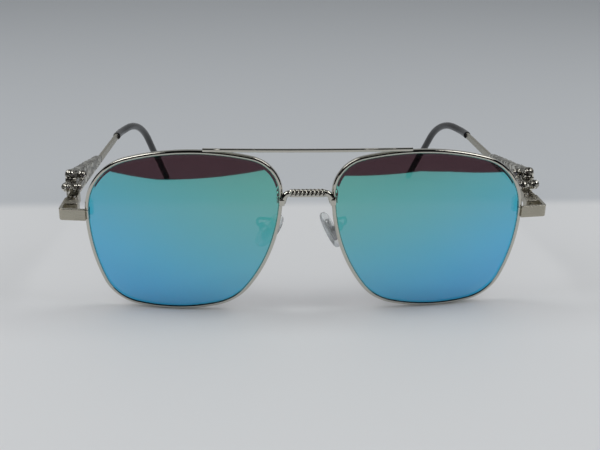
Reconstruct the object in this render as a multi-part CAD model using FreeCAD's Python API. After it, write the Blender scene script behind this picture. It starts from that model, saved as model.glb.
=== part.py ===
import FreeCAD, Part
import math
import os

os.makedirs("parts", exist_ok=True)

# Metal navigator sunglasses with a double bridge, standing open on the rims and the temple tips.
# Millimetres, +X across the front, +Y from the lenses back to the ears, +Z up.
# Every right-hand piece (+X) is built first; left-hand pieces are its mirror images.

Vec = FreeCAD.Vector

# ---- driving dimensions ----
# lens and rim
lens_centre_x = 37.2
lens_centre_z = 26.7
lens_wrap = 4.3          # degrees, outer edge turned back
lens_tilt = 6.6          # degrees, top leaning forward
lens_radius = 100.0      # radius of the front surface
lens_thick = 1.8
lens_facet = 0.55        # polished facet round the front edge
bevel_thick = 0.8        # tongue on the lens edge that sits in the rim groove
bevel_depth = 0.5
rim_width = 1.2
rim_depth = 1.6
rim_round = 0.5
rim_split = 0.2
rim_lug_height = 7.0     # height of the end piece above the lens centre
split_u = 29.0           # how far out from the lens centre the rim is split
split_depth = 4.0
split_reach = (8.0, 12.0)

# the lens outline: four corner arcs (u outward, v up, radius) joined by four long side arcs
corner_top_outer = (10.5, 5.8, 18.0)
corner_low_outer = (14.3, -13.9, 11.3)
corner_low_inner = (-5.2, -8.6, 16.0)
corner_top_inner = (-17.3, 12.8, 11.2)
side_top = 64.0
side_outer = 70.0
side_low = 64.0
side_inner = 53.5

# brow bar and bridge
brow_half = 30.5
brow_height = 1.0
brow_depth = 1.1
brow_low = 53.65
brow_end_y = 0.9
brow_bow = 0.85
brow_round = 0.3
bridge_y = 0.6
bridge_z = 41.0
bridge_radius = 1.25
bridge_flat_half = 5.3
bridge_drop = 2.7
bridge_shoulder = 1.2    # corner of the wire, beyond the flat stretch
bridge_bend = 1.9
bridge_end_x = 7.3
bridge_lug = (1.8, 2.6, 2.2)
bridge_lug_round = 0.4

# end piece
end_inner_x = 66.3
end_strip = 1.0
end_height = 3.6
end_low = 30.9
end_front_y = 5.4
end_corner_x = 74.4
end_corner_y = 6.4
end_back_y = 16.6
end_bend = 1.3
end_inner_bend = 0.5
end_edge_round = 0.18

# closing block and its screw
block_size = (2.2, 2.6, 4.0)
block_x = 65.5
block_y = 9.0
block_round = 0.4
block_screw = 0.45
block_screw_back = 0.3
block_head = (0.8, 0.6)          # radius, height
screw_slot = (2.0, 0.25, 0.5)

# hinge
hinge_x = 72.0
hinge_y = 16.8
knuckle_radius = 1.1
knuckle_gap = 0.06
hinge_pin = 0.5
hinge_head = (0.85, 0.5)         # radius, height
pin_clearance = 0.05
hinge_height = end_height
leaf_thick = 0.6
leaf_long = 4.6
leaf_back = 1.0                  # the front leaf ends this far before the pin
front_neck = (1.15, 1.2)         # start before the pin, length
temple_neck = (0.3, 1.4)         # start behind the pin, length
front_block = (3.8, 3.8)         # width, length
front_block_round = 0.5
front_ring = (0.5, 0.9, 0.35)    # inner radius, outer radius, depth
front_ring_in = 2.4              # how far inside the strip the ring's centre lies
spring_block = (2.4, 4.4, 0.2)   # width, length, how much lower than the hinge
spring_block_back = 1.45
spring_block_round = 0.35
stop_gap = 0.1

# temple
bar_thick = 1.1
bar_height = 3.2
bar_end_height = 2.2
bar_round = 0.25
bar_outer_x = 74.3
bar_rise = 2.0           # rise of the bar from the hinge to the tip
bar_end_y = 88.0
bar_overlap = 0.4        # how far the bar runs into the mouth of the tip
turn_point = (68.5, 93.0)   # in plan, where the temple turns further inwards
turn_bend = 35.0         # radius in plan of that turn
tip_plan_slope = 0.278   # how far the ear piece runs inwards for each millimetre back
tip_radius = 1.4
core_radius = 0.6
core_short = 4.0         # the core wire ends this far before the end of the tip
tip_level = 7.2          # level run of the black tip from the turn to the bend over the ear
tip_bend = 27.0          # radius of the bend over the ear
tip_drop_angle = 52.0

# ornament on the temple
sleeve_front_y = 24.5
sleeve_back_y = 60.0
sleeve_front_top = 39.4
sleeve_back_top = 35.4
sleeve_low = 31.6
sleeve_front_x = (72.2, 76.0)
sleeve_back_x = (69.8, 72.7)
sleeve_nose = (6.0, 1.2)         # length and drop of the slope at its front
sleeve_round = 0.6
# polished balls: x, y, z, radius
beads = (
    (74.4, 20.2, 36.7, 1.65),
    (71.2, 21.6, 36.1, 1.60),
    (74.3, 26.6, 38.8, 1.80),
    (70.9, 28.2, 38.2, 1.65),
)
bead_neck = 0.8
# where the necks aim: from the bead in x, from the sleeve's front top in y and z
bead_foot = (-0.2, 2.0, -2.6)

# nose pads
pad_long = 12.4
pad_wide = 7.0
pad_thick = 2.2
pad_round = 1.0
pad_core_size = (7.0, 3.4, 0.5)
pad_core_corner = 1.2
pad_tab_wide = 1.5
pad_tab_end = 0.75
pad_box_radius = 1.3
pad_box_length = 2.2
pad_box_round = 0.4
pad_slot = 0.9
pad_slot_deep = 3.7
pad_slot_rise = 1.0
pad_tab = 0.7
pad_screw = 0.3
pad_screw_head = (0.55, 0.35)    # radius, height
pad_hole = 0.35
pad_standoff = 2.9       # from the pad screw to the middle of the pad
arm_radius = 0.45
arm_bend = 1.0
arm_root_v = 2.5                 # height of the solder joint, from the lens centre
arm_root_sink = 0.2
arm_rise = (0.6, 2.2, 1.2)       # first run, out of the back of the rim
arm_stand = 1.3                  # last run, straight into the box
arm_drop = 2.0                   # run down behind the box
arm_sink = 0.3
# pad attitude on each side: box centre, lean from upright, splay from straight back (degrees)
pad_right = ((10.3, 7.8, 27.6), 27.0, 10.0)
pad_left = ((13.2, 7.8, 27.6), 38.0, 30.0)


# ---- helpers ----
def lens_point(u, v, depth=0.0):
    """A point of the right lens: u outward, v up, depth behind the tangent plane of the front."""
    tilt = math.radians(lens_tilt)
    wrap = math.radians(lens_wrap)
    back = depth * math.cos(tilt) - v * math.sin(tilt)
    up = v * math.cos(tilt) + depth * math.sin(tilt)
    x = u * math.cos(wrap) - back * math.sin(wrap)
    y = u * math.sin(wrap) + back * math.cos(wrap)
    return Vec(lens_centre_x + x, y, lens_centre_z + up)


def sag(u, v, radius=None):
    """How far a sphere through the lens vertex lies behind the tangent plane."""
    radius = radius or lens_radius
    return radius - math.sqrt(radius * radius - u * u - v * v)


def lens_placement():
    """The lens frame: local x outward, local y up, local z towards the front."""
    origin = lens_point(0, 0)
    x_axis = lens_point(1, 0) - origin
    y_axis = lens_point(0, 1) - origin
    z_axis = origin - lens_point(0, 0, 1)
    matrix = FreeCAD.Matrix(
        x_axis.x, y_axis.x, z_axis.x, origin.x,
        x_axis.y, y_axis.y, z_axis.y, origin.y,
        x_axis.z, y_axis.z, z_axis.z, origin.z,
        0, 0, 0, 1)
    return FreeCAD.Placement(matrix)


def circle_meet(corner_a, corner_b, radius):
    """Centre of the side arc that is tangent inside two corner circles."""
    a = Vec(corner_a[0], corner_a[1], 0)
    b = Vec(corner_b[0], corner_b[1], 0)
    reach_a = radius - corner_a[2]
    reach_b = radius - corner_b[2]
    along = b - a
    span = along.Length
    along = along * (1.0 / span)
    step = (span * span + reach_a * reach_a - reach_b * reach_b) / (2 * span)
    height = math.sqrt(reach_a * reach_a - step * step)
    inward = Vec(along.y, -along.x, 0)
    return a + along * step + inward * height


def lens_outline(offset):
    """Closed wire of the lens outline, grown outwards by offset."""
    corners = [corner_top_inner, corner_top_outer, corner_low_outer, corner_low_inner]
    radii = [side_top, side_outer, side_low, side_inner]
    centres = [circle_meet(corners[i], corners[(i + 1) % 4], radii[i]) for i in range(4)]
    edges = []
    for i in range(4):
        start = Vec(corners[i][0], corners[i][1], 0)
        end = Vec(corners[(i + 1) % 4][0], corners[(i + 1) % 4][1], 0)
        reach = radii[i] + offset
        from_dir = (start - centres[i]).normalize()
        to_dir = (end - centres[i]).normalize()
        edges.append(arc_about(centres[i], from_dir, to_dir, reach))
        next_dir = (end - centres[(i + 1) % 4]).normalize()
        corner_reach = corners[(i + 1) % 4][2] + offset
        edges.append(arc_about(end, to_dir, next_dir, corner_reach))
    return Part.Wire(edges)


def rim_inner_side(v):
    """How far out, on the nose side, the lens edge lies at height v."""
    centre = circle_meet(corner_low_inner, corner_top_inner, side_inner)
    return centre.x - math.sqrt(side_inner ** 2 - (v - centre.y) ** 2)


def arc_about(centre, from_dir, to_dir, radius):
    """Arc about a centre between two directions."""
    middle = (from_dir + to_dir).normalize()
    return Part.Arc(centre + from_dir * radius, centre + middle * radius, centre + to_dir * radius).toShape()


def lens_prism(offset):
    """The outline as a long prism through the lens."""
    face = Part.Face(lens_outline(offset))
    face.translate(Vec(0, 0, -30))
    return face.extrude(Vec(0, 0, 60))


def lens_shell(front_radius, back_radius):
    """The shell between two spheres about the lens's centre of curvature."""
    centre = Vec(0, 0, -lens_radius)
    return Part.makeSphere(front_radius, centre).cut(Part.makeSphere(back_radius, centre))


def box_about(centre, size):
    """A box about its centre."""
    corner = Vec(centre[0] - size[0] / 2, centre[1] - size[1] / 2, centre[2] - size[2] / 2)
    return Part.makeBox(size[0], size[1], size[2], corner)


def rounded_path(points, radii):
    """Straight runs through points, joined by tangent arcs of one radius or of one for each corner."""
    points = [Vec(*p) for p in points]
    if not isinstance(radii, (list, tuple)):
        radii = [radii] * (len(points) - 2)
    edges = []
    last = points[0]
    for before, corner, after, radius in zip(points, points[1:], points[2:], radii):
        to_before = (before - corner).normalize()
        to_after = (after - corner).normalize()
        half = to_before.getAngle(to_after) / 2
        back = radius / math.tan(half)
        start = corner + to_before * back
        end = corner + to_after * back
        middle_dir = (to_before + to_after).normalize()
        centre = corner + middle_dir * (radius / math.sin(half))
        middle = centre - middle_dir * radius
        edges.append(Part.LineSegment(last, start).toShape())
        edges.append(Part.Arc(start, middle, end).toShape())
        last = end
    edges.append(Part.LineSegment(last, points[-1]).toShape())
    return Part.Wire(edges)


def round_tube(wire, radius):
    """A round wire swept along a path."""
    start = wire.Edges[0].valueAt(wire.Edges[0].FirstParameter)
    direction = wire.Edges[0].tangentAt(wire.Edges[0].FirstParameter)
    ring = Part.Wire([Part.Circle(start, direction, radius).toShape()])
    return wire.makePipeShell([ring], True, False)


def soften(shape, edges, radius):
    """Round the given edges."""
    return shape.makeFillet(radius, edges)


def mirrored(shape):
    """The left-hand twin of a right-hand piece."""
    return shape.mirror(Vec(0, 0, 0), Vec(1, 0, 0))


# ---- lens and rim ----
def make_lens():
    """Curved lens with a narrow tongue round its edge."""
    body = lens_prism(0).common(lens_shell(lens_radius, lens_radius - lens_thick))
    body = body.makeChamfer(lens_facet, [e for e in body.Edges if lies_on_front(e)])
    middle = lens_radius - lens_thick / 2
    tongue_shell = lens_shell(middle + bevel_thick / 2, middle - bevel_thick / 2)
    tongue = lens_prism(bevel_depth).common(tongue_shell)
    lens = body.fuse(tongue)
    lens.Placement = lens_placement()
    return lens


def lies_on_front(edge):
    """True for an edge of the lens's front face."""
    return all(abs((p.Point - Vec(0, 0, -lens_radius)).Length - lens_radius) < 0.01 for p in edge.Vertexes)


def make_rim(lens):
    """Eyewire: a rounded ring with an inner groove, split behind the end piece."""
    middle = lens_radius - lens_thick / 2
    ring = lens_prism(rim_width).cut(lens_prism(0))
    rim = ring.common(lens_shell(middle + rim_depth / 2, middle - rim_depth / 2))
    outer_edges = [e for e in rim.Edges if edge_lies_on_sphere(e)]
    rim = soften(rim, outer_edges, rim_round)
    rim.Placement = lens_placement()
    rim = rim.cut(lens)
    place = lens_point(split_u, rim_lug_height, split_depth)
    return rim.cut(box_about(tuple(place), (split_reach[0], split_reach[1], rim_split)))


def edge_lies_on_sphere(edge):
    """True for the long edges that run round the ring, not for the short ones across it."""
    ends = [edge.valueAt(edge.FirstParameter), edge.valueAt(edge.LastParameter)]
    centre = Vec(0, 0, -lens_radius)
    return abs((ends[0] - centre).Length - (ends[1] - centre).Length) < 0.01


# ---- brow bar and bridge ----
def make_brow_bar(rims):
    """Thin straight bar across the tops of both rims, bowed a little forward."""
    half = brow_depth / 2
    band = []
    for side in (-half, half):
        ends = [Vec(x, brow_end_y + side, brow_low) for x in (-brow_half, brow_half)]
        middle = Vec(0, brow_end_y - brow_bow + side, brow_low)
        band.append(Part.Arc(ends[0], middle, ends[1]).toShape())
    closers = []
    for i in (0, 1):
        closers.append(Part.LineSegment(band[0].Vertexes[i].Point, band[1].Vertexes[i].Point).toShape())
    face = Part.Face(Part.Wire(Part.__sortEdges__(band + closers)))
    bar = face.extrude(Vec(0, 0, brow_height))
    long_edges = [e for e in bar.Edges if e.Length > brow_half]
    bar = soften(bar, long_edges, brow_round)
    return bar.cut(rims)


def make_bridge(rims):
    """Bridge wire over the nose, turned down to a lug on each rim."""
    low = bridge_z - bridge_drop
    points = [
        (-bridge_end_x, bridge_y, low),
        (-bridge_flat_half - bridge_shoulder, bridge_y, bridge_z),
        (bridge_flat_half + bridge_shoulder, bridge_y, bridge_z),
        (bridge_end_x, bridge_y, low),
    ]
    bridge = round_tube(rounded_path(points, bridge_bend), bridge_radius)
    for side in (-1, 1):
        lug = box_about((side * bridge_end_x, bridge_y, low), bridge_lug)
        lug = soften(lug, lug.Edges, bridge_lug_round)
        bridge = bridge.fuse(lug)
    return bridge.removeSplitter().cut(rims)


# ---- end piece, closing block, hinge ----
def make_end_piece(rim):
    """Flat strip from the rim outwards, bent back to the hinge."""
    outside = rounded_path(
        [(end_inner_x, end_front_y, end_low), (end_corner_x, end_corner_y, end_low),
         (end_corner_x, end_back_y, end_low)], end_bend)
    inside = rounded_path(
        [(end_inner_x, end_front_y + end_strip, end_low),
         (end_corner_x - end_strip, end_corner_y + end_strip, end_low),
         (end_corner_x - end_strip, end_back_y, end_low)], end_inner_bend)
    front_close = Part.LineSegment(outside.Vertexes[0].Point, inside.Vertexes[0].Point).toShape()
    back_close = Part.LineSegment(outside.Vertexes[-1].Point, inside.Vertexes[-1].Point).toShape()
    loop = Part.Wire(Part.__sortEdges__(outside.Edges + inside.Edges + [front_close, back_close]))
    strip = Part.Face(loop).extrude(Vec(0, 0, end_height))
    outer_edges = [e for e in strip.Edges if abs(e.Vertexes[0].Z - e.Vertexes[-1].Z) < 0.01]
    strip = soften(strip, outer_edges, end_edge_round)
    return strip.cut(rim)


def block_centre():
    """Centre of the closing block, at the height of the rim's split."""
    return (block_x, block_y, lens_point(split_u, rim_lug_height, split_depth).z)


def make_block_screw():
    """Screw that draws the two halves of the closing block together."""
    x, y, z = block_centre()
    y = y + block_screw_back
    half = block_size[2] / 2
    head_radius, head_height = block_head
    shank = Part.makeCylinder(block_screw, block_size[2] + head_height, Vec(x, y, z - half))
    head = Part.makeCylinder(head_radius, head_height, Vec(x, y, z + half))
    slot = box_about((x, y, z + half + head_height), screw_slot)
    return shank.fuse(head).removeSplitter().cut(slot)


def make_closing_block(rim, lens, end_piece, screw):
    """Two small blocks soldered to the ends of the split rim."""
    centre = block_centre()
    block = box_about(centre, block_size)
    block = soften(block, [e for e in block.Edges if e.Length > block_size[1] + 0.1], block_round)
    block = block.cut(rim).cut(lens).cut(end_piece).cut(screw)
    return block.cut(box_about(centre, (split_reach[0], split_reach[0], rim_split)))


def knuckle(low, height):
    """One barrel of the hinge."""
    return Part.makeCylinder(knuckle_radius, height, Vec(hinge_x, hinge_y, low))


def make_hinge_screw():
    """Vertical screw that is the hinge's pin."""
    top = end_low + hinge_height
    head_radius, head_height = hinge_head
    shank = Part.makeCylinder(hinge_pin, hinge_height + head_height, Vec(hinge_x, hinge_y, end_low))
    head = Part.makeCylinder(head_radius, head_height, Vec(hinge_x, hinge_y, top))
    slot = box_about((hinge_x, hinge_y, top + head_height), screw_slot)
    return shank.fuse(head).removeSplitter().cut(slot)


def front_hinge_block(inner_x):
    """Rounded block at the foot of the front leaf, with a ring cut in its forward face."""
    wide, long = front_block
    front = hinge_y - leaf_back - leaf_long
    block = Part.makeBox(wide, long, hinge_height, Vec(inner_x - wide, front, end_low))
    block = soften(block, block.Edges, front_block_round)
    inner, outer, deep = front_ring
    centre = Vec(inner_x - front_ring_in, front, end_low + hinge_height / 2)
    groove = Part.makeCylinder(outer, deep, centre, Vec(0, 1, 0))
    return block.cut(groove.cut(Part.makeCylinder(inner, deep, centre, Vec(0, 1, 0))))


def make_front_leaf(end_piece, screw):
    """Leaf on the end piece with the upper and the lower knuckle."""
    third = hinge_height / 3
    inner_x = end_corner_x - end_strip
    plate = Part.makeBox(
        leaf_thick, leaf_long, hinge_height,
        Vec(inner_x - leaf_thick, hinge_y - leaf_back - leaf_long, end_low))
    leaf = plate
    neck_start, neck_long = front_neck
    for low in (end_low, end_low + 2 * third):
        neck = Part.makeBox(inner_x - hinge_x, neck_long, third, Vec(hinge_x, hinge_y - neck_start, low))
        leaf = leaf.fuse(knuckle(low, third)).fuse(neck)
    leaf = leaf.fuse(front_hinge_block(inner_x))
    return leaf.removeSplitter().cut(end_piece).cut(screw)


def make_temple_leaf(bar, screw):
    """Leaf on the temple with the middle knuckle and the block behind it."""
    third = hinge_height / 3
    inner_x = bar_outer_x - bar_thick
    low = end_low + third + knuckle_gap
    middle = knuckle(low, third - 2 * knuckle_gap)
    neck_start, neck_long = temple_neck
    neck = Part.makeBox(
        inner_x - hinge_x, neck_long, third - 2 * knuckle_gap, Vec(hinge_x, hinge_y + neck_start, low))
    wide, long, lower = spring_block
    front = hinge_y + spring_block_back
    block = Part.makeBox(
        wide, long, hinge_height - lower, Vec(inner_x - wide, front, end_low + lower / 2))
    block = soften(block, block.Edges, spring_block_round)
    leaf = middle.fuse(neck).fuse(block).removeSplitter()
    bore = Part.makeCylinder(
        hinge_pin + pin_clearance, hinge_height, Vec(hinge_x, hinge_y, end_low))
    return leaf.cut(bore).cut(bar)


# ---- temple ----
def bar_front_y():
    """Front end of the bar, just behind the hinge's stop."""
    return hinge_y + stop_gap


def bar_middle_z():
    """Height of the middle of the bar where it meets the tip."""
    return end_low + end_height / 2 + bar_rise


def bar_line(y):
    """The middle of the bar in plan at a given y."""
    front = Vec(bar_outer_x - bar_thick / 2, bar_front_y(), 0)
    share = (y - front.y) / (turn_point[1] - front.y)
    return Vec(front.x + (turn_point[0] - front.x) * share, y, 0)


def tip_points(floor_z):
    """Corners of the tip's centre line: along the bar, inwards, then down over the ear to the table."""
    level = Vec(0, 0, bar_middle_z())
    way = Vec(-tip_plan_slope, 1, 0).normalize()
    turn = Vec(turn_point[0], turn_point[1], 0) + level
    knee = turn + way * (tip_level + tip_bend * math.tan(math.radians(tip_drop_angle / 2)))
    drop = knee.z - floor_z - tip_radius
    end = knee + way * (drop / math.tan(math.radians(tip_drop_angle))) - Vec(0, 0, drop)
    return [bar_line(bar_end_y) + level, turn, knee, end]


def tip_path(points):
    """The tip's centre line with its two bends."""
    return rounded_path([tuple(p) for p in points], [turn_bend, tip_bend])


def make_bar(floor_z):
    """Flat side bar with a round core wire that runs on inside the tip."""
    front_y = bar_front_y()
    back_y = bar_end_y + bar_overlap
    half = Vec(bar_thick / 2, 0, 0)
    corners = [
        bar_line(front_y) - half, bar_line(front_y) + half,
        bar_line(back_y) + half, bar_line(back_y) - half]
    band = Part.Face(Part.makePolygon(corners + corners[:1])).extrude(Vec(0, 0, 60))
    back_z = bar_middle_z()
    front_z = back_z - bar_rise
    profile = [
        Vec(50, front_y, front_z - bar_height / 2),
        Vec(50, back_y, back_z - bar_end_height / 2),
        Vec(50, back_y, back_z + bar_end_height / 2),
        Vec(50, front_y, front_z + bar_height / 2)]
    slab = Part.Face(Part.makePolygon(profile + profile[:1])).extrude(Vec(40, 0, 0))
    bar = band.common(slab)
    long_edges = [e for e in bar.Edges if e.Length > 15]
    bar = soften(bar, long_edges, bar_round)
    points = tip_points(floor_z)
    points[3] = points[3] - (points[3] - points[2]).normalize() * core_short
    core = round_tube(tip_path(points), core_radius)
    return bar.fuse(core).removeSplitter()


def make_tip(bar, floor_z):
    """Black plastic tip with a rounded end, pushed over the core wire."""
    points = tip_points(floor_z)
    tip = round_tube(tip_path(points), tip_radius)
    tip = tip.fuse(Part.makeSphere(tip_radius, points[3]))
    return tip.removeSplitter().cut(bar)


# ---- ornament ----
def make_sleeve(bar):
    """Tapered cast sleeve round the bar."""
    side_x = 60
    back_low = bar_middle_z() - bar_height / 2
    side = Part.makePolygon([
        Vec(side_x, sleeve_front_y, sleeve_low),
        Vec(side_x, sleeve_back_y, back_low),
        Vec(side_x, sleeve_back_y, sleeve_back_top),
        Vec(side_x, sleeve_front_y + sleeve_nose[0], sleeve_front_top),
        Vec(side_x, sleeve_front_y, sleeve_front_top - sleeve_nose[1]),
        Vec(side_x, sleeve_front_y, sleeve_low)])
    plan = Part.makePolygon([
        Vec(sleeve_front_x[0], sleeve_front_y, 0),
        Vec(sleeve_front_x[1], sleeve_front_y, 0),
        Vec(sleeve_back_x[1], sleeve_back_y, 0),
        Vec(sleeve_back_x[0], sleeve_back_y, 0),
        Vec(sleeve_front_x[0], sleeve_front_y, 0)])
    slab = Part.Face(side).extrude(Vec(30, 0, 0))
    body = Part.Face(plan).extrude(Vec(0, 0, 60)).common(slab)
    body = soften(body, body.Edges, sleeve_round)
    return body.cut(bar)


def make_beads(sleeve, bar):
    """Polished balls in front of and on top of the sleeve, with short necks."""
    solids = []
    for x, y, z, radius in beads:
        ball = Part.makeSphere(radius, Vec(x, y, z))
        foot = Vec(x + bead_foot[0], sleeve_front_y + bead_foot[1], sleeve_front_top + bead_foot[2])
        reach = foot - Vec(x, y, z)
        neck = Part.makeCylinder(bead_neck, reach.Length, Vec(x, y, z), reach)
        ball = ball.fuse(neck).removeSplitter().cut(sleeve).cut(bar)
        for other in solids:
            ball = ball.cut(other)
        solids.append(max(ball.Solids, key=lambda s: s.Volume))
    return Part.makeCompound(solids)


# ---- nose pads ----
def pad_frame(side):
    """Placement of a pad: local x along the pad, local y across it, local z to the nose."""
    centre, lean, splay = side
    lean = math.radians(lean)
    splay = math.radians(splay)
    along = Vec(-math.sin(lean), 0, math.cos(lean))
    back = Vec(math.sin(splay), math.cos(splay), 0)
    back = (back - along * back.dot(along)).normalize()
    nose = along.cross(back)
    if nose.x > 0:
        nose = nose * -1
        back = back * -1
    return Vec(*centre), along, back, nose


def pad_matrix(side):
    """The pad frame as a placement with its origin on the pad screw."""
    centre, along, back, nose = pad_frame(side)
    matrix = FreeCAD.Matrix(
        along.x, back.x, nose.x, centre.x,
        along.y, back.y, nose.y, centre.y,
        along.z, back.z, nose.z, centre.z,
        0, 0, 0, 1)
    return FreeCAD.Placement(matrix)


def make_pad_core(side):
    """Stiff plate inside the pad with the tab that enters the pad box."""
    long, wide, thick = pad_core_size
    plate = box_about((0, 0, pad_standoff), (long, wide, thick))
    plate = soften(plate, [e for e in plate.Edges if e.Length < thick + 0.01], pad_core_corner)
    tab = box_about((0, 0, pad_standoff / 2), (pad_tab_wide, pad_tab, pad_standoff))
    nose_end = Part.makeCylinder(pad_tab_end, pad_tab, Vec(0, -pad_tab / 2, 0), Vec(0, 1, 0))
    hole = Part.makeCylinder(pad_hole, 2 * pad_tab, Vec(0, -pad_tab, 0), Vec(0, 1, 0))
    core = plate.fuse(tab).fuse(nose_end).removeSplitter().cut(hole)
    core.Placement = pad_matrix(side)
    return core


def make_pad(side, core):
    """Soft oval pad, crowned towards the nose, moulded round its core."""
    half_long = pad_long / 2
    oval = Part.Ellipse(Vec(0, 0, 0), half_long, pad_wide / 2).toShape()
    base = Part.Face(Part.Wire([oval]))
    base.translate(Vec(0, 0, pad_standoff - pad_thick / 2))
    pad = base.extrude(Vec(0, 0, pad_thick))
    ovals = [e for e in pad.Edges if e.Length > pad_long]
    pad = soften(pad, ovals, pad_round)
    pad.Placement = pad_matrix(side)
    return pad.cut(core)


def make_pad_screw(side):
    """Cross screw that holds the pad's tab in its box."""
    shank = Part.makeCylinder(pad_screw, pad_box_length, Vec(0, -pad_box_length / 2, 0), Vec(0, 1, 0))
    head_radius, head_height = pad_screw_head
    head = Part.makeCylinder(head_radius, head_height, Vec(0, pad_box_length / 2, 0), Vec(0, 1, 0))
    screw = shank.fuse(head).removeSplitter()
    screw.Placement = pad_matrix(side)
    return screw


def make_pad_box(side, screw):
    """Small round clevis at the end of the pad arm."""
    box = Part.makeCylinder(pad_box_radius, pad_box_length, Vec(0, -pad_box_length / 2, 0), Vec(0, 1, 0))
    box = soften(box, [e for e in box.Edges if isinstance(e.Curve, Part.Circle)], pad_box_round)
    slot = box_about((0, 0, pad_slot_rise), (2 * pad_box_length, pad_slot, pad_slot_deep))
    box = box.cut(slot)
    box.Placement = pad_matrix(side)
    return box.cut(screw)


def make_arm(side, rim, box):
    """Bent wire from the back of the rim to the pad box."""
    centre, along, back, nose = pad_frame(side)
    entry = centre - nose * (pad_box_radius - arm_sink)
    rim_u = rim_inner_side(arm_root_v) - rim_width / 2
    rim_back = sag(rim_u, arm_root_v) + (lens_thick + rim_depth) / 2
    root = lens_point(rim_u, arm_root_v, rim_back - arm_root_sink)
    behind = entry - nose * arm_stand
    points = [root, root + Vec(*arm_rise), behind + Vec(0, 0, arm_drop), behind, entry]
    arm = round_tube(rounded_path(points, arm_bend), arm_radius)
    return arm.cut(rim).cut(box)


# ---- assembly ----
def build():
    """Every piece by node name, standing with the rims and the tips on z = 0."""
    nodes = {}
    lens = make_lens()
    rim = make_rim(lens)
    rims = rim.fuse(mirrored(rim))
    floor_z = rim.optimalBoundingBox(False).ZMin
    end_piece = make_end_piece(rim)
    block_screw_solid = make_block_screw()
    block = make_closing_block(rim, lens, end_piece, block_screw_solid)
    hinge_screw = make_hinge_screw()
    front_leaf = make_front_leaf(end_piece, hinge_screw)
    bar = make_bar(floor_z)
    temple_leaf = make_temple_leaf(bar, hinge_screw)
    tip = make_tip(bar, floor_z)
    sleeve = make_sleeve(bar)
    bead_group = make_beads(sleeve, bar)
    sided = {
        "lens": lens,
        "rim": rim,
        "end_piece": end_piece,
        "closing_block": block,
        "closing_screw": block_screw_solid,
        "hinge_screw": hinge_screw,
        "hinge_leaf_front": front_leaf,
        "temple_bar": bar,
        "hinge_leaf_temple": temple_leaf,
        "temple_tip": tip,
        "temple_sleeve": sleeve,
        "temple_beads": bead_group,
    }
    for name, shape in sided.items():
        nodes[name + "_right"] = shape
        nodes[name + "_left"] = mirrored(shape)
    nodes["brow_bar"] = make_brow_bar(rims)
    nodes["bridge"] = make_bridge(rims)
    for label, side in (("right", pad_right), ("left", pad_left)):
        screw = make_pad_screw(side)
        box = make_pad_box(side, screw)
        core = make_pad_core(side)
        pieces = {
            "pad_screw": screw,
            "pad_box": box,
            "pad_core": core,
            "nose_pad": make_pad(side, core),
            "pad_arm": make_arm(side, rim, box),
        }
        for name, shape in pieces.items():
            nodes[name + "_" + label] = shape if label == "right" else mirrored(shape)
    return nodes


def main():
    """Move the whole to its origin, write one file for each piece and print the joint points."""
    nodes = build()
    whole = Part.makeCompound(list(nodes.values())).optimalBoundingBox(False)
    shift = Vec(0, -(whole.YMin + whole.YMax) / 2, -whole.ZMin)
    for name, shape in nodes.items():
        placed = shape.copy()
        placed.translate(shift)
        placed.exportStep("parts/" + name + ".step")
        print(name, len(placed.Solids), placed.isValid(), round(placed.Volume, 3))
    print("shift", tuple(round(v, 4) for v in shift))
    print("size", round(whole.XLength, 2), round(whole.YLength, 2), round(whole.ZLength, 2))
    print("hinge", round(hinge_x, 3), round(hinge_y + shift.y, 3))
    for label, side in (("right", pad_right), ("left", pad_left)):
        centre, along, back, nose = pad_frame(side)
        print("pad", label, tuple(centre + shift), "axis", tuple(back))
    knee, end = tip_points(-shift.z)[2:]
    way = (end - knee).normalize()
    straight_from = knee + way * (tip_bend * math.tan(math.radians(tip_drop_angle / 2)))
    middle = (straight_from + end) * 0.5 + shift
    print("tip", tuple(middle), "axis", tuple(way), "straight", round((end - straight_from).Length, 3))


main()
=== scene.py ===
import math

import bmesh
import bpy
from mathutils import Matrix, Vector, noise


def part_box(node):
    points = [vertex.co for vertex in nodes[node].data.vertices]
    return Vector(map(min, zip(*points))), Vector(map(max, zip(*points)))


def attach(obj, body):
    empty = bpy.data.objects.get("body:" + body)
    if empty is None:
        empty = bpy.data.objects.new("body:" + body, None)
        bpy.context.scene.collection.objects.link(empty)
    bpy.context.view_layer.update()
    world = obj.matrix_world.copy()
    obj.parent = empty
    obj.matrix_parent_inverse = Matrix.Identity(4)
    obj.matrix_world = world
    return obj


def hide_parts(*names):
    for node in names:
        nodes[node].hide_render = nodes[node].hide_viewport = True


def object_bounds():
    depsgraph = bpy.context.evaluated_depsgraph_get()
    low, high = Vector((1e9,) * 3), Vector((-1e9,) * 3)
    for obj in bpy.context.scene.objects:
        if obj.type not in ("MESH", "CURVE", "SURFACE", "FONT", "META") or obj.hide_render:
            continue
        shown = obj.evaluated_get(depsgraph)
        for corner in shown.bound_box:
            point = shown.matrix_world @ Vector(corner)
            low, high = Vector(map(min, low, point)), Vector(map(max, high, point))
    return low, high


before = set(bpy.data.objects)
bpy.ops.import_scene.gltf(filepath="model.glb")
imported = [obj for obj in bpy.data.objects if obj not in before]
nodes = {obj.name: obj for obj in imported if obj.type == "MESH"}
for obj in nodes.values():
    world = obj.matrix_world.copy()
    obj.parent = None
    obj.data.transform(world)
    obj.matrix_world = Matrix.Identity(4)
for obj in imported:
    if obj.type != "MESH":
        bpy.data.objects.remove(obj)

cad_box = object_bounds()
SIDES = ("right", "left")
MM = 0.001
WELD_TRIANGLES = 0.0005 * MM

# ---- Eye rims ----
# Two closed loops of nickel-silver wire with a rounded outer face, rolled to the shape of the lens,
# plated bright and buffed on a mop. Each is split at the outer side, where the closing block holds it.


def socket(group, name, direction, kind="NodeSocketFloat", value=None):
    """One named socket on a node group."""
    made = group.interface.new_socket(name=name, in_out=direction, socket_type=kind)
    if value is not None:
        made.default_value = value


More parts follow.
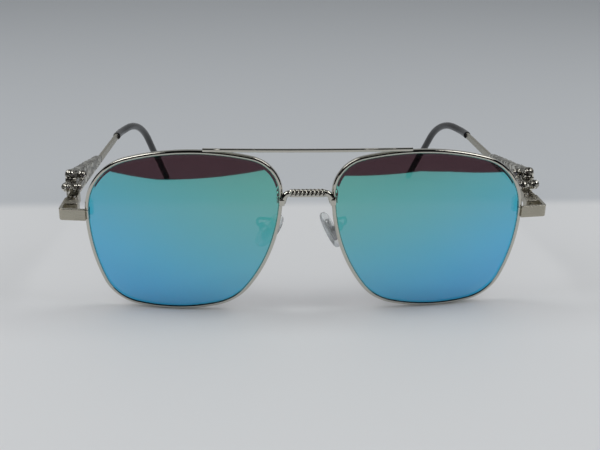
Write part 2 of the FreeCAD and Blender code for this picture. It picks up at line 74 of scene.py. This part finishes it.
def build_mop_marks():
    """Node group: fine rub marks and faint handling haze on plated metal."""
    group = bpy.data.node_groups.new("mop_marks", "ShaderNodeTree")
    socket(group, "Vector", "INPUT", "NodeSocketVector")
    socket(group, "Grain", "INPUT", value=2600.0)
    socket(group, "Stretch", "INPUT", "NodeSocketVector", value=(1.0, 1.0, 1.0))
    socket(group, "Smooth", "INPUT", value=0.05)
    socket(group, "Rough", "INPUT", value=0.16)
    socket(group, "Roughness", "OUTPUT")
    socket(group, "Height", "OUTPUT")
    nodes_in = group.nodes.new("NodeGroupInput")
    nodes_out = group.nodes.new("NodeGroupOutput")
    turned = group.nodes.new("ShaderNodeVectorMath")
    turned.operation = "MULTIPLY"
    grain = group.nodes.new("ShaderNodeTexNoise")
    grain.inputs["Detail"].default_value = 4.0
    haze = group.nodes.new("ShaderNodeTexNoise")
    haze.inputs["Scale"].default_value = 170.0
    haze.inputs["Detail"].default_value = 3.0
    mixed = group.nodes.new("ShaderNodeMath")
    mixed.operation = "MULTIPLY"
    ranged = group.nodes.new("ShaderNodeMapRange")
    ranged.inputs["From Min"].default_value = 0.1
    ranged.inputs["From Max"].default_value = 0.42
    link = group.links.new
    link(nodes_in.outputs["Vector"], turned.inputs[0])
    link(nodes_in.outputs["Stretch"], turned.inputs[1])
    link(turned.outputs[0], grain.inputs["Vector"])
    link(nodes_in.outputs["Grain"], grain.inputs["Scale"])
    link(nodes_in.outputs["Vector"], haze.inputs["Vector"])
    link(grain.outputs["Fac"], mixed.inputs[0])
    link(haze.outputs["Fac"], mixed.inputs[1])
    link(mixed.outputs[0], ranged.inputs["Value"])
    link(nodes_in.outputs["Smooth"], ranged.inputs["To Min"])
    link(nodes_in.outputs["Rough"], ranged.inputs["To Max"])
    link(ranged.outputs[0], nodes_out.inputs["Roughness"])
    link(grain.outputs["Fac"], nodes_out.inputs["Height"])
    return group


mop_marks = build_mop_marks()


def new_finish(name):
    """A material with one Principled shader; gives the material, its node tree and the shader."""
    finish = bpy.data.materials.new(name)
    finish.use_nodes = True
    return finish, finish.node_tree, finish.node_tree.nodes["Principled BSDF"]


def blend_colour(tree, first, second):
    """A colour mix node between two plain colours; its factor is left open."""
    mix = tree.nodes.new("ShaderNodeMix")
    mix.data_type = "RGBA"
    mix.inputs["A"].default_value = (*first, 1.0)
    mix.inputs["B"].default_value = (*second, 1.0)
    return mix


def plated_finish(name, bright, dull, smooth, rough, grain, stretch, depth):
    """Plated metal: two close shades of one colour, and roughness and bump from the rub marks."""
    finish, tree, shader = new_finish(name)
    place = tree.nodes.new("ShaderNodeTexCoord")
    marks = tree.nodes.new("ShaderNodeGroup")
    marks.node_tree = mop_marks
    marks.inputs["Grain"].default_value = grain
    marks.inputs["Stretch"].default_value = stretch
    marks.inputs["Smooth"].default_value = smooth
    marks.inputs["Rough"].default_value = rough
    shade = blend_colour(tree, bright, dull)
    bump = tree.nodes.new("ShaderNodeBump")
    bump.inputs["Distance"].default_value = depth
    bump.inputs["Strength"].default_value = 0.5
    link = tree.links.new
    link(place.outputs["Object"], marks.inputs["Vector"])
    link(marks.outputs["Height"], shade.inputs["Factor"])
    link(marks.outputs["Height"], bump.inputs["Height"])
    link(shade.outputs["Result"], shader.inputs["Base Color"])
    link(marks.outputs["Roughness"], shader.inputs["Roughness"])
    link(bump.outputs["Normal"], shader.inputs["Normal"])
    shader.inputs["Metallic"].default_value = 1.0
    return finish


def give_finish(finish, *names):
    """Puts a finish on CAD nodes."""
    for name in names:
        nodes[name].data.materials.clear()
        nodes[name].data.materials.append(finish)


bright_plate = plated_finish(
    "bright_plate",
    bright=(0.62, 0.60, 0.54),
    dull=(0.53, 0.51, 0.45),
    smooth=0.04,
    rough=0.11,
    grain=2600.0,
    stretch=(1.0, 1.0, 1.0),
    depth=0.000004,
)
give_finish(bright_plate, "rim_right", "rim_left")

# ---- Lenses ----
# Spherical blanks of tinted plastic, edged to the rim with a bright bevel all round.
# A thin metal-oxide mirror is laid on the front only; the back shows the tint.
LENS_RADIUS = 100.0 * MM
LENS_THICK = 1.8 * MM
BLANK_SIZE = 64.0 * MM
BLANK_STEPS = 80
COAT_SKIN = 0.01 * MM


def merged_copy(name):
    """A copy of a CAD node's mesh with its loose triangles joined."""
    mesh = nodes[name].data.copy()
    mesh.materials.clear()
    form = bmesh.new()
    form.from_mesh(mesh)
    bmesh.ops.remove_doubles(form, verts=form.verts, dist=WELD_TRIANGLES)
    form.to_mesh(mesh)
    form.free()
    return mesh


def smooth_faces(mesh, angle):
    """Smooth shading, with every edge sharper than the angle (degrees) kept crisp."""
    for face in mesh.polygons:
        face.use_smooth = True
    mesh.set_sharp_from_angle(angle=math.radians(angle))


def place_piece(name, mesh, body, slot, *replaced):
    """Shows a new piece that rides on a body in place of CAD nodes."""
    piece = bpy.data.objects.new(name, mesh)
    bpy.context.scene.collection.objects.link(piece)
    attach(piece, body)
    if replaced:
        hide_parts(*replaced)
    return piece


def applied(mesh, modifiers):
    """The mesh with a few modifiers applied: each is a type and its settings."""
    holder = bpy.data.objects.new("holder", mesh)
    bpy.context.scene.collection.objects.link(holder)
    for number, (kind, settings) in enumerate(modifiers):
        modifier = holder.modifiers.new(f"step_{number}", kind)
        for key, value in settings.items():
            setattr(modifier, key, value)
    bpy.context.view_layer.update()
    graph = bpy.context.evaluated_depsgraph_get()
    made = bpy.data.meshes.new_from_object(holder.evaluated_get(graph))
    bpy.data.objects.remove(holder)
    return made


def sphere_centre(name):
    """Centre of the front sphere of a CAD lens, from the normals of its front face."""
    mesh = nodes[name].data
    total = Vector()
    count = 0
    for corner, loop in enumerate(mesh.loops):
        normal = Vector(mesh.corner_normals[corner].vector)
        if normal.y < -0.95:  # looks straight forward, so it isn't the bevel
            total += mesh.vertices[loop.vertex_index].co - normal * LENS_RADIUS
            count += 1
    return total / count


def make_lens(side):
    """A spherical blank, cut by the CAD lens to its outline and bevel."""
    node = f"lens_{side}"
    low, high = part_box(node)
    middle = (low + high) / 2
    centre = sphere_centre(node)
    radius = LENS_RADIUS - COAT_SKIN
    form = bmesh.new()
    bmesh.ops.create_grid(
        form, x_segments=BLANK_STEPS, y_segments=BLANK_STEPS, size=BLANK_SIZE / 2,
        matrix=Matrix.Translation(middle) @ Matrix.Rotation(math.pi / 2, 4, "X"),
    )
    for point in form.verts:
        across = point.co.x - centre.x
        up = point.co.z - centre.z
        point.co.y = centre.y - math.sqrt(radius * radius - across * across - up * up)
    bmesh.ops.recalc_face_normals(form, faces=form.faces)
    if form.faces[:][0].normal.y > 0:
        bmesh.ops.reverse_faces(form, faces=form.faces)
    bmesh.ops.solidify(form, geom=form.faces[:], thickness=LENS_THICK - 2 * COAT_SKIN)
    blank = bpy.data.meshes.new(f"blank_{side}")
    form.to_mesh(blank)
    form.free()
    cutter = bpy.data.objects.new("cutter", merged_copy(node))
    bpy.context.scene.collection.objects.link(cutter)
    edged = applied(blank, [("BOOLEAN", {"operation": "INTERSECT", "object": cutter, "solver": "EXACT"})])
    bpy.data.objects.remove(cutter)
    return edged


def mirror_finish(side):
    """Front mirror: green by the nose and at the top, blue towards the outer edge and the bottom."""
    finish, tree, shader = new_finish(f"mirror_coat_{side}")
    low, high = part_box(f"lens_{side}")
    outward = 1 if side == "right" else -1
    inner = low.x if side == "right" else high.x
    width = high.x - low.x
    height = high.z - low.z
    place = tree.nodes.new("ShaderNodeTexCoord")
    parts = tree.nodes.new("ShaderNodeSeparateXYZ")
    across = tree.nodes.new("ShaderNodeMapRange")
    across.inputs["From Min"].default_value = inner
    across.inputs["From Max"].default_value = inner + outward * width
    down = tree.nodes.new("ShaderNodeMapRange")
    down.inputs["From Min"].default_value = high.z
    down.inputs["From Max"].default_value = low.z
    drift = tree.nodes.new("ShaderNodeTexNoise")
    drift.inputs["Scale"].default_value = 22.0
    drift.inputs["Detail"].default_value = 1.0
    weigh_across = tree.nodes.new("ShaderNodeMath")
    weigh_across.operation = "MULTIPLY_ADD"
    weigh_across.inputs[1].default_value = 0.35
    weigh_down = tree.nodes.new("ShaderNodeMath")
    weigh_down.operation = "MULTIPLY"
    weigh_down.inputs[1].default_value = 0.75
    waver = tree.nodes.new("ShaderNodeMath")
    waver.operation = "MULTIPLY_ADD"
    waver.inputs[1].default_value = 0.14
    ramp = tree.nodes.new("ShaderNodeValToRGB")
    ramp.color_ramp.interpolation = "B_SPLINE"
    ramp.color_ramp.elements[0].position = 0.0
    ramp.color_ramp.elements[0].color = (0.135, 0.60, 0.46, 1.0)
    ramp.color_ramp.elements[1].position = 1.0
    ramp.color_ramp.elements[1].color = (0.03, 0.54, 1.0, 1.0)
    middle = ramp.color_ramp.elements.new(0.45)
    middle.color = (0.125, 0.60, 0.56, 1.0)
    link = tree.links.new
    link(place.outputs["Object"], parts.inputs[0])
    link(place.outputs["Object"], drift.inputs["Vector"])
    link(parts.outputs["X"], across.inputs["Value"])
    link(parts.outputs["Z"], down.inputs["Value"])
    link(down.outputs[0], weigh_down.inputs[0])
    link(across.outputs[0], weigh_across.inputs[0])
    link(weigh_down.outputs[0], weigh_across.inputs[2])
    link(drift.outputs["Fac"], waver.inputs[0])
    link(weigh_across.outputs[0], waver.inputs[2])
    link(waver.outputs[0], ramp.inputs["Fac"])
    link(ramp.outputs["Color"], shader.inputs["Base Color"])
    shader.inputs["Metallic"].default_value = 1.0
    shader.inputs["Roughness"].default_value = 0.03
    shader.inputs["Alpha"].default_value = 0.87
    return finish


def tint_finish():
    """The body of the lens: dark red-brown tint, clear and glossy."""
    finish, tree, shader = new_finish("lens_tint")
    place = tree.nodes.new("ShaderNodeTexCoord")
    cloud = tree.nodes.new("ShaderNodeTexNoise")
    cloud.inputs["Scale"].default_value = 60.0
    shade = blend_colour(tree, (0.88, 0.24, 0.34), (0.84, 0.21, 0.31))
    link = tree.links.new
    link(place.outputs["Object"], cloud.inputs["Vector"])
    link(cloud.outputs["Fac"], shade.inputs["Factor"])
    link(shade.outputs["Result"], shader.inputs["Base Color"])
    shader.inputs["Roughness"].default_value = 0.0
    shader.inputs["IOR"].default_value = 1.01
    shader.inputs["Transmission Weight"].default_value = 1.0
    shader.inputs["Coat Weight"].default_value = 0.6
    shader.inputs["Coat Roughness"].default_value = 0.02
    return finish


def true_curve(mesh, centre):
    """Gives the coated front the exact normals of its sphere, so that it reflects without ripples."""
    normals = [corner.vector.copy() for corner in mesh.corner_normals]
    for face in mesh.polygons:
        spans = [mesh.vertices[index].co - centre for index in face.vertices]
        on_sphere = all(abs(span.length - LENS_RADIUS) < 4 * COAT_SKIN for span in spans)
        if face.material_index == 0 and on_sphere:
            for corner, span in zip(face.loop_indices, spans):
                normals[corner] = span.normalized()
    mesh.normals_split_custom_set(normals)


lens_tint = tint_finish()
for side in SIDES:
    mesh = make_lens(side)
    mesh.materials.clear()
    mesh.materials.append(mirror_finish(side))
    mesh.materials.append(lens_tint)
    for face in mesh.polygons:
        looks_forward = face.normal.y < -0.2
        face.material_index = 0 if looks_forward else 1
    smooth_faces(mesh, 12)
    true_curve(mesh, sphere_centre(f"lens_{side}"))
    place_piece(f"mirror_lens_{side}", mesh, "front", "mirror_lens", f"lens_{side}")

# ---- Brow bar ----
# A slim straight bar of the same wire stock, bowed a little to follow the front. It is soldered across
# the tops of both rims, cut square at its ends and plated with them.
give_finish(bright_plate, "brow_bar")

# ---- Bridge ----
# One wire over the nose, turned down to a lug on each rim. Its upper front is cut with
# slanting notches that catch the light like twisted rope; the lower face is left smooth.
WIRE_RADIUS = 1.25 * MM
LEG_SHARE = 0.74
WIRE_SIDES = 64
WELD = 0.001 * MM
BEND_RADIUS = 1.9 * MM
LEG_LEAN = math.radians(16.5)
LEG_LENGTH = 1.6 * MM
FLAT_HALF = 5.08 * MM
FLAT_STEPS = 90
BEND_STEPS = 14
NOTCH_HALF = 5.3 * MM
NOTCH_PITCH = 1.18 * MM
NOTCH_DEPTH = 0.42 * MM
NOTCH_SLANT = 0.75 * MM
NOTCH_LOW = math.radians(-4)
NOTCH_HIGH = math.radians(120)
NOTCH_FADE = math.radians(18)
NOTCH_END_FADE = 0.4 * MM
LEG_START = NOTCH_HALF - 0.6 * MM
LEG_TAPER = 0.9 * MM
LUG_SIZE = (1.7 * MM, 2.2 * MM, 2.2 * MM)
LUG_ROUND = 0.4 * MM


def window(value, low, high, soft):
    """1 between low and high, falling smoothly to 0 outside them over the soft width."""
    rise = min(max((value - low) / soft + 1.0, 0.0), 1.0)
    fall = min(max((high - value) / soft + 1.0, 0.0), 1.0)
    return rise * rise * (3 - 2 * rise) * fall * fall * (3 - 2 * fall)


def cut_notches(form, axis_y, axis_z):
    """Presses the slanting notches into the upper front of the straight stretch."""
    for point in form.verts:
        forward = axis_y - point.co.y
        upward = point.co.z - axis_z
        turn = math.atan2(upward, forward)
        along = window(abs(point.co.x), -NOTCH_HALF, NOTCH_HALF, NOTCH_END_FADE)
        around = window(turn, NOTCH_LOW, NOTCH_HIGH, NOTCH_FADE)
        wave = math.cos(2 * math.pi * (point.co.x - NOTCH_SLANT * turn) / NOTCH_PITCH)
        depth = NOTCH_DEPTH * along * around * (0.5 + 0.5 * wave) ** 2
        if depth > 0:
            out = Vector((0, point.co.y - axis_y, point.co.z - axis_z)).normalized()
            point.co -= out * depth


def slim_legs(form, axis_y, axis_z):
    """Draws the wire down to its legs beyond the notched stretch."""
    for point in form.verts:
        share = 1 - window(abs(point.co.x), -NOTCH_HALF, LEG_START, LEG_TAPER)
        path = Vector((point.co.x, axis_y, axis_z))
        if abs(point.co.x) > FLAT_HALF:
            hand = math.copysign(1.0, point.co.x)
            elbow = Vector((hand * FLAT_HALF, axis_y, axis_z - BEND_RADIUS))
            out = Vector((point.co.x, axis_y, point.co.z)) - elbow
            lean = math.atan2(out.x * hand, out.z)
            if lean < math.pi / 2 - LEG_LEAN:
                path = elbow + out.normalized() * BEND_RADIUS
            else:
                corner = elbow + Vector((hand * math.cos(LEG_LEAN), 0, math.sin(LEG_LEAN))) * BEND_RADIUS
                down = Vector((hand * math.sin(LEG_LEAN), 0, -math.cos(LEG_LEAN)))
                path = corner + down * (Vector((point.co.x, axis_y, point.co.z)) - corner).dot(down)
        point.co = path + (point.co - path) * (1 - (1 - LEG_SHARE) * share)


def make_bridge():
    """Half of the wire pulled from the middle to one lug, mirrored, notched, with its lugs."""
    low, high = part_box("bridge")
    axis_y = (low.y + high.y) / 2
    axis_z = high.z - WIRE_RADIUS
    form = bmesh.new()
    ring = bmesh.ops.create_circle(
        form, segments=WIRE_SIDES, radius=WIRE_RADIUS,
        matrix=Matrix.Translation((0, axis_y, axis_z)) @ Matrix.Rotation(math.pi / 2, 4, "Y"),
    )["verts"]
    edges = list({edge for point in ring for edge in point.link_edges})
    run = bmesh.ops.spin(
        form, geom=edges, cent=(0, 0, 0), axis=(0, 1, 0), dvec=(FLAT_HALF / FLAT_STEPS * 2, 0, 0),
        angle=0.0, steps=FLAT_STEPS // 2,
    )
    bend = bmesh.ops.spin(
        form, geom=[item for item in run["geom_last"] if isinstance(item, bmesh.types.BMEdge)],
        cent=(FLAT_HALF, axis_y, axis_z - BEND_RADIUS), axis=(0, 1, 0), dvec=(0, 0, 0),
        angle=math.pi / 2 - LEG_LEAN, steps=BEND_STEPS,
    )
    down = Vector((math.sin(LEG_LEAN), 0, -math.cos(LEG_LEAN))) * LEG_LENGTH
    bmesh.ops.spin(
        form, geom=[item for item in bend["geom_last"] if isinstance(item, bmesh.types.BMEdge)],
        cent=(0, 0, 0), axis=(0, 1, 0), dvec=down / 4, angle=0.0, steps=4,
    )
    half = form.verts[:] + form.edges[:] + form.faces[:]
    bmesh.ops.mirror(form, geom=half, axis="X", merge_dist=WELD)
    bmesh.ops.remove_doubles(form, verts=form.verts, dist=WELD)
    bmesh.ops.holes_fill(form, edges=[edge for edge in form.edges if edge.is_boundary])
    cut_notches(form, axis_y, axis_z)
    slim_legs(form, axis_y, axis_z)
    for hand in (-1, 1):
        lug = bmesh.ops.create_cube(form, size=1.0)["verts"]
        bmesh.ops.scale(form, vec=LUG_SIZE, verts=lug)
        place = (hand * (high.x - LUG_SIZE[0] / 2), axis_y, low.z + LUG_SIZE[2] / 2)
        bmesh.ops.translate(form, vec=place, verts=lug)
        corners = list({edge for point in lug for edge in point.link_edges})
        bmesh.ops.bevel(
            form, geom=corners, offset=LUG_ROUND, offset_type="OFFSET", segments=4, profile=0.5,
            affect="EDGES", material=-1,
        )
    bmesh.ops.recalc_face_normals(form, faces=form.faces)
    mesh = bpy.data.meshes.new("notched_bridge")
    form.to_mesh(mesh)
    form.free()
    return mesh


notched_bridge = make_bridge()
notched_bridge.materials.append(bright_plate)
smooth_faces(notched_bridge, 40)
place_piece("notched_bridge", notched_bridge, "front", "polished_wire", "bridge")

# ---- Pad arms and boxes ----
# Thin plated wires soldered to the back of each rim and bent round to a small drum, the pad box,
# which is slotted to take the tab of the nose pad.
give_finish(bright_plate, "pad_arm_right", "pad_arm_left", "pad_box_right", "pad_box_left")

# ---- Nose pads ----
# Clear silicone moulded round a small pale insert. The insert's tab sits in the pad box, held by a
# steel screw that runs across it.


def silicone_finish():
    """Clear silicone with a faint milky haze."""
    finish, tree, shader = new_finish("clear_silicone")
    place = tree.nodes.new("ShaderNodeTexCoord")
    haze = tree.nodes.new("ShaderNodeTexNoise")
    haze.inputs["Scale"].default_value = 900.0
    ranged = tree.nodes.new("ShaderNodeMapRange")
    ranged.inputs["To Min"].default_value = 0.18
    ranged.inputs["To Max"].default_value = 0.3
    shade = blend_colour(tree, (0.95, 0.97, 0.97), (0.90, 0.93, 0.93))
    link = tree.links.new
    link(place.outputs["Object"], haze.inputs["Vector"])
    link(haze.outputs["Fac"], ranged.inputs["Value"])
    link(haze.outputs["Fac"], shade.inputs["Factor"])
    link(shade.outputs["Result"], shader.inputs["Base Color"])
    link(ranged.outputs[0], shader.inputs["Roughness"])
    shader.inputs["Transmission Weight"].default_value = 0.8
    shader.inputs["IOR"].default_value = 1.15
    return finish


def moulded_finish(name, light, dark, smooth, rough, coat):
    """Moulded plastic with a very fine skin texture."""
    finish, tree, shader = new_finish(name)
    place = tree.nodes.new("ShaderNodeTexCoord")
    skin = tree.nodes.new("ShaderNodeTexNoise")
    skin.inputs["Scale"].default_value = 1500.0
    skin.inputs["Detail"].default_value = 3.0
    ranged = tree.nodes.new("ShaderNodeMapRange")
    ranged.inputs["To Min"].default_value = smooth
    ranged.inputs["To Max"].default_value = rough
    shade = blend_colour(tree, light, dark)
    bump = tree.nodes.new("ShaderNodeBump")
    bump.inputs["Distance"].default_value = 0.00001
    bump.inputs["Strength"].default_value = 0.3
    link = tree.links.new
    link(place.outputs["Object"], skin.inputs["Vector"])
    link(skin.outputs["Fac"], ranged.inputs["Value"])
    link(skin.outputs["Fac"], shade.inputs["Factor"])
    link(skin.outputs["Fac"], bump.inputs["Height"])
    link(shade.outputs["Result"], shader.inputs["Base Color"])
    link(ranged.outputs[0], shader.inputs["Roughness"])
    link(bump.outputs["Normal"], shader.inputs["Normal"])
    shader.inputs["Coat Weight"].default_value = coat
    return finish


give_finish(silicone_finish(), "nose_pad_right", "nose_pad_left")
insert_grey = moulded_finish("insert_grey", (0.58, 0.59, 0.60), (0.50, 0.51, 0.52), 0.35, 0.5, 0.0)
give_finish(insert_grey, "pad_core_right", "pad_core_left")
give_finish(bright_plate, "pad_screw_right", "pad_screw_left")

# ---- End pieces, closing blocks and hinge leaves ----
# Flat nickel-silver strip bent back at the corner, brushed, plated and soldered to the closing block,
# whose screw clamps the rim. One hinge leaf is soldered inside the strip and one to the temple bar.
satin_plate = plated_finish(
    "satin_plate",
    bright=(0.50, 0.47, 0.39),
    dull=(0.41, 0.385, 0.32),
    smooth=0.2,
    rough=0.36,
    grain=900.0,
    stretch=(0.35, 0.35, 6.0),
    depth=0.00001,
)
for side in SIDES:
    give_finish(satin_plate, f"end_piece_{side}", f"closing_block_{side}")
    give_finish(satin_plate, f"hinge_leaf_front_{side}", f"hinge_leaf_temple_{side}")
    give_finish(satin_plate, f"temple_bar_{side}")
    give_finish(bright_plate, f"closing_screw_{side}", f"hinge_screw_{side}")

# ---- Cast sleeves and balls ----
# A hollow casting pushed over the front of each temple bar, covered with small worn pebbles, and four
# cast balls pinned to its front. Its colour is darker in the hollows and lighter on the high spots,
# which are also polished smoother.
SLEEVE_PEBBLE = 2.1 * MM
SLEEVE_DENT = 0.35 * MM
SLEEVE_GRID = 0.25 * MM
BALL_PEBBLE = 1.5 * MM
BALL_DENT = 0.22 * MM
BALL_GRID = 0.13 * MM


def cast_finish():
    """Cast metal: darker colour in the hollows, lighter colour on the high spots, which are also
    smoother.
    """
    finish, tree, shader = new_finish("cast_pebble")
    place = tree.nodes.new("ShaderNodeTexCoord")
    hollow = tree.nodes.new("ShaderNodeAttribute")
    hollow.attribute_name = "hollow"
    grain = tree.nodes.new("ShaderNodeTexNoise")
    grain.inputs["Scale"].default_value = 2200.0
    ranged = tree.nodes.new("ShaderNodeMapRange")
    ranged.inputs["To Min"].default_value = 0.07
    ranged.inputs["To Max"].default_value = 0.35
    shade = blend_colour(tree, (0.72, 0.70, 0.63), (0.16, 0.15, 0.13))
    bump = tree.nodes.new("ShaderNodeBump")
    bump.inputs["Distance"].default_value = 0.00001
    bump.inputs["Strength"].default_value = 0.4
    link = tree.links.new
    link(place.outputs["Object"], grain.inputs["Vector"])
    link(grain.outputs["Fac"], bump.inputs["Height"])
    link(hollow.outputs["Fac"], ranged.inputs["Value"])
    link(hollow.outputs["Fac"], shade.inputs["Factor"])
    link(ranged.outputs[0], shader.inputs["Roughness"])
    link(shade.outputs["Result"], shader.inputs["Base Color"])
    link(bump.outputs["Normal"], shader.inputs["Normal"])
    shader.inputs["Metallic"].default_value = 1.0
    return finish


def worn_casting(name, grid, pebble, dent):
    """A CAD piece rebuilt as a fine even mesh and worn inwards between its pebbles."""
    casting = applied(merged_copy(name), [
        ("REMESH", {"mode": "VOXEL", "voxel_size": grid, "use_smooth_shade": True}),
        ("SMOOTH", {"factor": 0.5, "iterations": 6}),
    ])
    hollows = []
    for point in casting.vertices:
        distances = noise.voronoi(point.co / pebble)[0]
        ridge = min((distances[1] - distances[0]) / 0.5, 1.0)
        hollow = (1.0 - ridge) ** 1.6
        hollows.append(hollow)
        point.co -= point.normal * (dent * hollow)
    layer = casting.attributes.new("hollow", "FLOAT", "POINT")
    layer.data.foreach_set("value", hollows)
    return applied(casting, [("SMOOTH", {"factor": 0.5, "iterations": 2})])


cast_metal = cast_finish()
for side in SIDES:
    sleeve = worn_casting(f"temple_sleeve_{side}", SLEEVE_GRID, SLEEVE_PEBBLE, SLEEVE_DENT)
    balls = worn_casting(f"temple_beads_{side}", BALL_GRID, BALL_PEBBLE, BALL_DENT)
    for mesh in (sleeve, balls):
        mesh.materials.clear()
        mesh.materials.append(cast_metal)
    place_piece(f"pebble_sleeve_{side}", sleeve, f"temple_{side}", "cast_metal", f"temple_sleeve_{side}")
    place_piece(f"cast_balls_{side}", balls, f"temple_{side}", "polished_beads", f"temple_beads_{side}")

# ---- Temple tips ----
# Black plastic tube heated and pushed over the rear end of the bar, bent down with it behind the ear,
# rounded at its end and polished.
tip_black = moulded_finish("tip_black", (0.012, 0.012, 0.013), (0.02, 0.02, 0.021), 0.12, 0.22, 0.4)
give_finish(tip_black, "temple_tip_right", "temple_tip_left")

# ---- Table, light and camera ----
# A pale matt table under two soft boxes, one at each side, seen from in front and above.
FLOOR_HALF = 2.0
# Painted shade on the table: where its greying starts and where it is full, in front of the object's rear
# end.
PAINTED_SHADE_START = 40.0 * MM
PAINTED_SHADE_FULL = 28.0 * MM
LIGHT_SIDE = 0.6
LIGHT_FORWARD = 0.14
LIGHT_HIGH = 0.7
LIGHT_AIM = (0.0, -0.02, 0.0)
LIGHT_SIZE = 0.5
LIGHT_POWER = 2.75


def flat_sheet(name, low, high, height):
    """A level rectangle for the table or a card."""
    form = bmesh.new()
    bmesh.ops.create_grid(form, x_segments=1, y_segments=1, size=0.5)
    bmesh.ops.scale(form, vec=(high[0] - low[0], high[1] - low[1], 1.0), verts=form.verts)
    bmesh.ops.translate(
        form, vec=((low[0] + high[0]) / 2, (low[1] + high[1]) / 2, height), verts=form.verts
    )
    mesh = bpy.data.meshes.new(name)
    form.to_mesh(mesh)
    form.free()
    sheet = bpy.data.objects.new(name, mesh)
    bpy.context.scene.collection.objects.link(sheet)
    return sheet


def table_finish():
    """Pale matt laminate with painted shade: its colour turns greyer beyond the object, where the light
    falls away.
    """
    finish, tree, shader = new_finish("table_pale_painted_falloff")
    place = tree.nodes.new("ShaderNodeTexCoord")
    parts = tree.nodes.new("ShaderNodeSeparateXYZ")
    painted_falloff = tree.nodes.new("ShaderNodeMapRange")
    painted_falloff.interpolation_type = "SMOOTHSTEP"
    painted_falloff.inputs["From Min"].default_value = cad_box[1].y - PAINTED_SHADE_START
    painted_falloff.inputs["From Max"].default_value = cad_box[1].y - PAINTED_SHADE_FULL
    # Painted shade: pale near the object, darker grey beyond it, in place of the light falling away.
    shade = blend_colour(tree, (0.74, 0.745, 0.75), (0.56, 0.58, 0.6))
    link = tree.links.new
    link(place.outputs["Object"], parts.inputs[0])
    link(parts.outputs["Y"], painted_falloff.inputs["Value"])
    link(painted_falloff.outputs[0], shade.inputs["Factor"])
    link(shade.outputs["Result"], shader.inputs["Base Color"])
    shader.inputs["Roughness"].default_value = 0.55
    shader.inputs["Specular IOR Level"].default_value = 0.2
    return finish


table = flat_sheet("table", (-FLOOR_HALF, -FLOOR_HALF), (FLOOR_HALF, FLOOR_HALF), cad_box[0].z)
table.data.materials.append(table_finish())

# Painted reflection: in front of the table the room is dark, and only mirrors see that, so a dark card
# lies there that the camera and the soft light don't notice, a painted reflection of the dark room.
# Its near edge is the table's front edge.
CARD_EDGE = (
    (-3.0, -0.24),
    (-0.4, -0.24),
    (-0.14, -0.235),
    (0.14, -0.40),
    (0.207, -0.33),
    (0.275, -0.16),
    (0.6, -0.1),
    (3.0, -0.1),
)
CARD_FAR = -8.0
CARD_LIFT = 0.4 * MM
form = bmesh.new()
outline = [form.verts.new((x, cad_box[0].y + y, cad_box[0].z + CARD_LIFT)) for x, y in CARD_EDGE]
outline.append(form.verts.new((3.0, CARD_FAR, cad_box[0].z + CARD_LIFT)))
outline.append(form.verts.new((-3.0, CARD_FAR, cad_box[0].z + CARD_LIFT)))
form.faces.new(outline)
card_mesh = bpy.data.meshes.new("dark_room_reflection_card")
form.to_mesh(card_mesh)
form.free()
card = bpy.data.objects.new("dark_room_reflection_card", card_mesh)
bpy.context.scene.collection.objects.link(card)
card_finish, card_tree, card_shader = new_finish("painted_dark_reflection")
# Painted reflection: the card is near black, so mirrors show the dark room in front.
card_shader.inputs["Base Color"].default_value = (0.004, 0.004, 0.004, 1.0)
card_shader.inputs["Specular IOR Level"].default_value = 0.0
card.data.materials.append(card_finish)
card.visible_camera = False
card.visible_diffuse = False
card.visible_shadow = False
card.visible_transmission = False


def soft_light(name, place, aim, size, power):
    """A square soft box that points at a place."""
    lamp = bpy.data.lights.new(name, "AREA")
    lamp.shape = "SQUARE"
    lamp.size = size
    lamp.energy = power
    holder = bpy.data.objects.new(name, lamp)
    bpy.context.scene.collection.objects.link(holder)
    holder.location = place
    holder.rotation_mode = "QUATERNION"
    holder.rotation_quaternion = (Vector(place) - Vector(aim)).to_track_quat("Z", "Y")
    return holder


for name, hand in (("left_box", -1), ("right_box", 1)):
    place = (hand * LIGHT_SIDE, -LIGHT_FORWARD, LIGHT_HIGH)
    soft_light(name, place, LIGHT_AIM, LIGHT_SIZE, LIGHT_POWER)


def room_world():
    """Pale all round for the camera; mirrors also see a dark room in front and overhead."""
    world = bpy.data.worlds.new("room")
    world.use_nodes = True
    tree = world.node_tree
    back = tree.nodes["Background"]
    place = tree.nodes.new("ShaderNodeTexCoord")
    parts = tree.nodes.new("ShaderNodeSeparateXYZ")
    front = tree.nodes.new("ShaderNodeMapRange")
    front.interpolation_type = "SMOOTHSTEP"
    front.inputs["From Min"].default_value = 0.66
    front.inputs["From Max"].default_value = 0.44
    path = tree.nodes.new("ShaderNodeLightPath")
    mirrored = tree.nodes.new("ShaderNodeMath")
    mirrored.operation = "MULTIPLY"
    shade = blend_colour(tree, (0.60, 0.62, 0.64), (0.012, 0.012, 0.013))
    link = tree.links.new
    link(place.outputs["Generated"], parts.inputs[0])
    link(parts.outputs["Y"], front.inputs["Value"])
    link(front.outputs[0], mirrored.inputs[0])
    link(path.outputs["Is Glossy Ray"], mirrored.inputs[1])
    link(mirrored.outputs[0], shade.inputs["Factor"])
    link(shade.outputs["Result"], back.inputs["Color"])
    back.inputs["Strength"].default_value = 0.6
    return world


bpy.context.scene.world = room_world()

EYE = Vector((-15.7 * MM, cad_box[0].y - 234.8 * MM, 122.4 * MM))
TURN = math.radians(-3.28)
LOOK_DOWN = math.radians(21.19)
ROLL = math.radians(0.71)
camera_data = bpy.data.cameras.new("camera")
camera_data.lens = 51.0
camera_data.sensor_width = 36.0
camera_data.clip_start = 0.01
camera = bpy.data.objects.new("camera", camera_data)
bpy.context.scene.collection.objects.link(camera)
camera.matrix_world = (
    Matrix.Translation(EYE)
    @ Matrix.Rotation(TURN, 4, "Z")
    @ Matrix.Rotation(math.pi / 2 - LOOK_DOWN, 4, "X")
    @ Matrix.Rotation(ROLL, 4, "Z")
)
bpy.context.scene.camera = camera
bpy.context.scene.view_settings.view_transform = "Standard"
